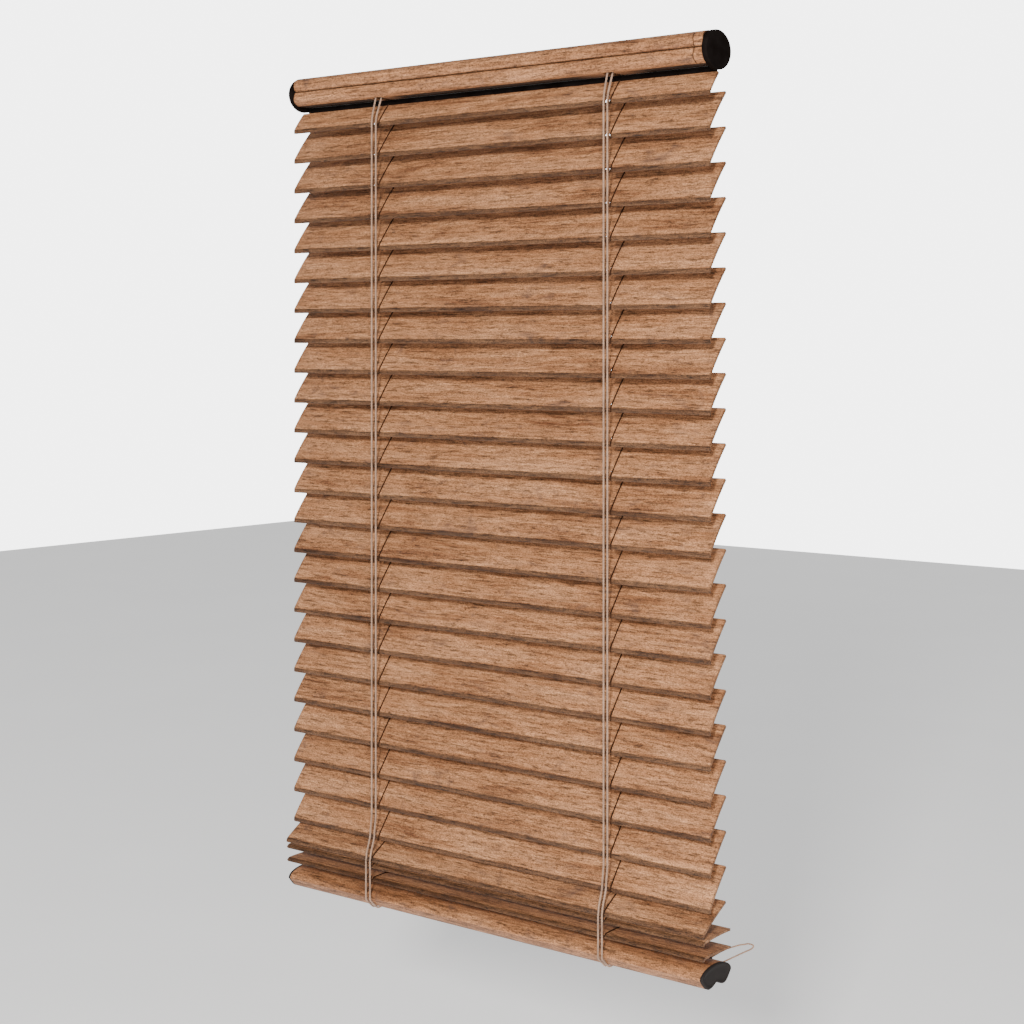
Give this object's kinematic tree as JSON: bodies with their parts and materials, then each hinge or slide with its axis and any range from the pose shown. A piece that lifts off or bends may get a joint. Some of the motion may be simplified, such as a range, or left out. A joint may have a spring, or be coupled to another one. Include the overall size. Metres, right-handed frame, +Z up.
{
  "type": "venetian blind",
  "caption": "Closed horizontal slatted blind in wood-look finish with head rail, ladder and lift cords and a two-lobed bottom rail.",
  "frame": {"origin": "midway between the two mounting brackets, level with their top faces", "axes": "+X along the slats to the right, -Y towards the room, +Z up"},
  "size_m": [0.6308, 0.0617, 0.9892],
  "materials": {
    "slat_wood": "printed wood grain, satin",
    "rail_wood": "printed wood grain, satin",
    "black_cap": "satin black",
    "grey_cap": "satin charcoal",
    "cord": "braided",
    "bracket_steel": "plain",
    "shaft_steel": "plain",
    "nylon": "moulded"
  },
  "bodies": {
    "frame": {"head_rail": "rail_wood", "head_collar": "rail_wood", "light_strip": "black_cap", "head_cap_left": "black_cap", "head_cap_right": "black_cap", "slat_26": "slat_wood", "slat_27": "slat_wood", "bottom_rail": "rail_wood", "bottom_cap_left": "grey_cap", "bottom_cap_right": "grey_cap", "ladder_front_left": "cord", "ladder_rear_left": "cord", "ladder_front_right": "cord", "ladder_rear_right": "cord", "lift_cord_left": "cord", "lift_cord_right": "cord", "cord_plug_left": "rail_wood", "cord_plug_right": "rail_wood", "pull_loop": "cord", "loop_anchor": "grey_cap", "drum_cradle_left": "nylon", "drum_cradle_right": "nylon", "tilter_housing": "nylon", "bracket_left": "bracket_steel", "bracket_right": "bracket_steel"},
    "shaft": {"tilt_shaft": "shaft_steel", "tilt_drum_left": "nylon", "tilt_drum_right": "nylon", "worm_wheel": "nylon"},
    "worm": {"tilter_worm": "shaft_steel"},
    "slat_01": {"slat_01": "slat_wood"},
    "slat_02": {"slat_02": "slat_wood"},
    "slat_03": {"slat_03": "slat_wood"},
    "slat_04": {"slat_04": "slat_wood"},
    "slat_05": {"slat_05": "slat_wood"},
    "slat_06": {"slat_06": "slat_wood"},
    "slat_07": {"slat_07": "slat_wood"},
    "slat_08": {"slat_08": "slat_wood"},
    "slat_09": {"slat_09": "slat_wood"},
    "slat_10": {"slat_10": "slat_wood"},
    "slat_11": {"slat_11": "slat_wood"},
    "slat_12": {"slat_12": "slat_wood"},
    "slat_13": {"slat_13": "slat_wood"},
    "slat_14": {"slat_14": "slat_wood"},
    "slat_15": {"slat_15": "slat_wood"},
    "slat_16": {"slat_16": "slat_wood"},
    "slat_17": {"slat_17": "slat_wood"},
    "slat_18": {"slat_18": "slat_wood"},
    "slat_19": {"slat_19": "slat_wood"},
    "slat_20": {"slat_20": "slat_wood"},
    "slat_21": {"slat_21": "slat_wood"},
    "slat_22": {"slat_22": "slat_wood"},
    "slat_23": {"slat_23": "slat_wood"},
    "slat_24": {"slat_24": "slat_wood"},
    "slat_25": {"slat_25": "slat_wood"}
  },
  "joints": [
    {"name": "tilt", "type": "hinge", "parent": "frame", "child": "shaft", "pos_m": [0, -0.001, -0.0165], "axis": [-1, 0, 0], "range_deg": [0, 260]},
    {"name": "worm_spin", "type": "hinge", "parent": "frame", "child": "worm", "pos_m": [0.245, -0.0114, -0.0165], "axis": [0, 0, 1], "range_deg": [0, 5200]},
    {"name": "slat_01_tilt", "type": "hinge", "parent": "frame", "child": "slat_01", "pos_m": [0, -0.00683, -0.05396], "axis": [-1, 0, 0], "range_deg": [0, 104]},
    {"name": "slat_02_tilt", "type": "hinge", "parent": "frame", "child": "slat_02", "pos_m": [0, 0, -0.0818], "axis": [-1, 0, 0], "range_deg": [0, 104]},
    {"name": "slat_03_tilt", "type": "hinge", "parent": "frame", "child": "slat_03", "pos_m": [0, 0, -0.1183], "axis": [-1, 0, 0], "range_deg": [0, 104]},
    {"name": "slat_04_tilt", "type": "hinge", "parent": "frame", "child": "slat_04", "pos_m": [0, 0, -0.1548], "axis": [-1, 0, 0], "range_deg": [0, 104]},
    {"name": "slat_05_tilt", "type": "hinge", "parent": "frame", "child": "slat_05", "pos_m": [0, 0, -0.1913], "axis": [-1, 0, 0], "range_deg": [0, 104]},
    {"name": "slat_06_tilt", "type": "hinge", "parent": "frame", "child": "slat_06", "pos_m": [0, 0, -0.2278], "axis": [-1, 0, 0], "range_deg": [0, 104]},
    {"name": "slat_07_tilt", "type": "hinge", "parent": "frame", "child": "slat_07", "pos_m": [0, 0, -0.2643], "axis": [-1, 0, 0], "range_deg": [0, 104]},
    {"name": "slat_08_tilt", "type": "hinge", "parent": "frame", "child": "slat_08", "pos_m": [0, 0, -0.3008], "axis": [-1, 0, 0], "range_deg": [0, 104]},
    {"name": "slat_09_tilt", "type": "hinge", "parent": "frame", "child": "slat_09", "pos_m": [0, 0, -0.3373], "axis": [-1, 0, 0], "range_deg": [0, 104]},
    {"name": "slat_10_tilt", "type": "hinge", "parent": "frame", "child": "slat_10", "pos_m": [0, 0, -0.3738], "axis": [-1, 0, 0], "range_deg": [0, 104]},
    {"name": "slat_11_tilt", "type": "hinge", "parent": "frame", "child": "slat_11", "pos_m": [0, 0, -0.4103], "axis": [-1, 0, 0], "range_deg": [0, 104]},
    {"name": "slat_12_tilt", "type": "hinge", "parent": "frame", "child": "slat_12", "pos_m": [0, 0, -0.4468], "axis": [-1, 0, 0], "range_deg": [0, 104]},
    {"name": "slat_13_tilt", "type": "hinge", "parent": "frame", "child": "slat_13", "pos_m": [0, 0, -0.4833], "axis": [-1, 0, 0], "range_deg": [0, 104]},
    {"name": "slat_14_tilt", "type": "hinge", "parent": "frame", "child": "slat_14", "pos_m": [0, 0, -0.5198], "axis": [-1, 0, 0], "range_deg": [0, 104]},
    {"name": "slat_15_tilt", "type": "hinge", "parent": "frame", "child": "slat_15", "pos_m": [0, 0, -0.5563], "axis": [-1, 0, 0], "range_deg": [0, 104]},
    {"name": "slat_16_tilt", "type": "hinge", "parent": "frame", "child": "slat_16", "pos_m": [0, 0, -0.5928], "axis": [-1, 0, 0], "range_deg": [0, 104]},
    {"name": "slat_17_tilt", "type": "hinge", "parent": "frame", "child": "slat_17", "pos_m": [0, 0, -0.6293], "axis": [-1, 0, 0], "range_deg": [0, 104]},
    {"name": "slat_18_tilt", "type": "hinge", "parent": "frame", "child": "slat_18", "pos_m": [0, 0, -0.6658], "axis": [-1, 0, 0], "range_deg": [0, 104]},
    {"name": "slat_19_tilt", "type": "hinge", "parent": "frame", "child": "slat_19", "pos_m": [0, 0, -0.7023], "axis": [-1, 0, 0], "range_deg": [0, 104]},
    {"name": "slat_20_tilt", "type": "hinge", "parent": "frame", "child": "slat_20", "pos_m": [0, 0, -0.7388], "axis": [-1, 0, 0], "range_deg": [0, 104]},
    {"name": "slat_21_tilt", "type": "hinge", "parent": "frame", "child": "slat_21", "pos_m": [0, 0, -0.7753], "axis": [-1, 0, 0], "range_deg": [0, 104]},
    {"name": "slat_22_tilt", "type": "hinge", "parent": "frame", "child": "slat_22", "pos_m": [0, 0, -0.8118], "axis": [-1, 0, 0], "range_deg": [0, 104]},
    {"name": "slat_23_tilt", "type": "hinge", "parent": "frame", "child": "slat_23", "pos_m": [0, 0, -0.8483], "axis": [-1, 0, 0], "range_deg": [0, 104]},
    {"name": "slat_24_tilt", "type": "hinge", "parent": "frame", "child": "slat_24", "pos_m": [0, 0, -0.8848], "axis": [-1, 0, 0], "range_deg": [0, 104]},
    {"name": "slat_25_tilt", "type": "hinge", "parent": "frame", "child": "slat_25", "pos_m": [0, -0.006, -0.9146], "axis": [-1, 0, 0], "range_deg": [0, 57.2]}
  ],
  "couplings": [
    {"joint": "worm_spin", "follows": "tilt", "ratio": 20},
    {"joint": "slat_01_tilt", "follows": "tilt", "ratio": 0.4},
    {"joint": "slat_02_tilt", "follows": "tilt", "ratio": 0.4},
    {"joint": "slat_03_tilt", "follows": "tilt", "ratio": 0.4},
    {"joint": "slat_04_tilt", "follows": "tilt", "ratio": 0.4},
    {"joint": "slat_05_tilt", "follows": "tilt", "ratio": 0.4},
    {"joint": "slat_06_tilt", "follows": "tilt", "ratio": 0.4},
    {"joint": "slat_07_tilt", "follows": "tilt", "ratio": 0.4},
    {"joint": "slat_08_tilt", "follows": "tilt", "ratio": 0.4},
    {"joint": "slat_09_tilt", "follows": "tilt", "ratio": 0.4},
    {"joint": "slat_10_tilt", "follows": "tilt", "ratio": 0.4},
    {"joint": "slat_11_tilt", "follows": "tilt", "ratio": 0.4},
    {"joint": "slat_12_tilt", "follows": "tilt", "ratio": 0.4},
    {"joint": "slat_13_tilt", "follows": "tilt", "ratio": 0.4},
    {"joint": "slat_14_tilt", "follows": "tilt", "ratio": 0.4},
    {"joint": "slat_15_tilt", "follows": "tilt", "ratio": 0.4},
    {"joint": "slat_16_tilt", "follows": "tilt", "ratio": 0.4},
    {"joint": "slat_17_tilt", "follows": "tilt", "ratio": 0.4},
    {"joint": "slat_18_tilt", "follows": "tilt", "ratio": 0.4},
    {"joint": "slat_19_tilt", "follows": "tilt", "ratio": 0.4},
    {"joint": "slat_20_tilt", "follows": "tilt", "ratio": 0.4},
    {"joint": "slat_21_tilt", "follows": "tilt", "ratio": 0.4},
    {"joint": "slat_22_tilt", "follows": "tilt", "ratio": 0.4},
    {"joint": "slat_23_tilt", "follows": "tilt", "ratio": 0.4},
    {"joint": "slat_24_tilt", "follows": "tilt", "ratio": 0.4},
    {"joint": "slat_25_tilt", "follows": "tilt", "ratio": 0.22}
  ]
}
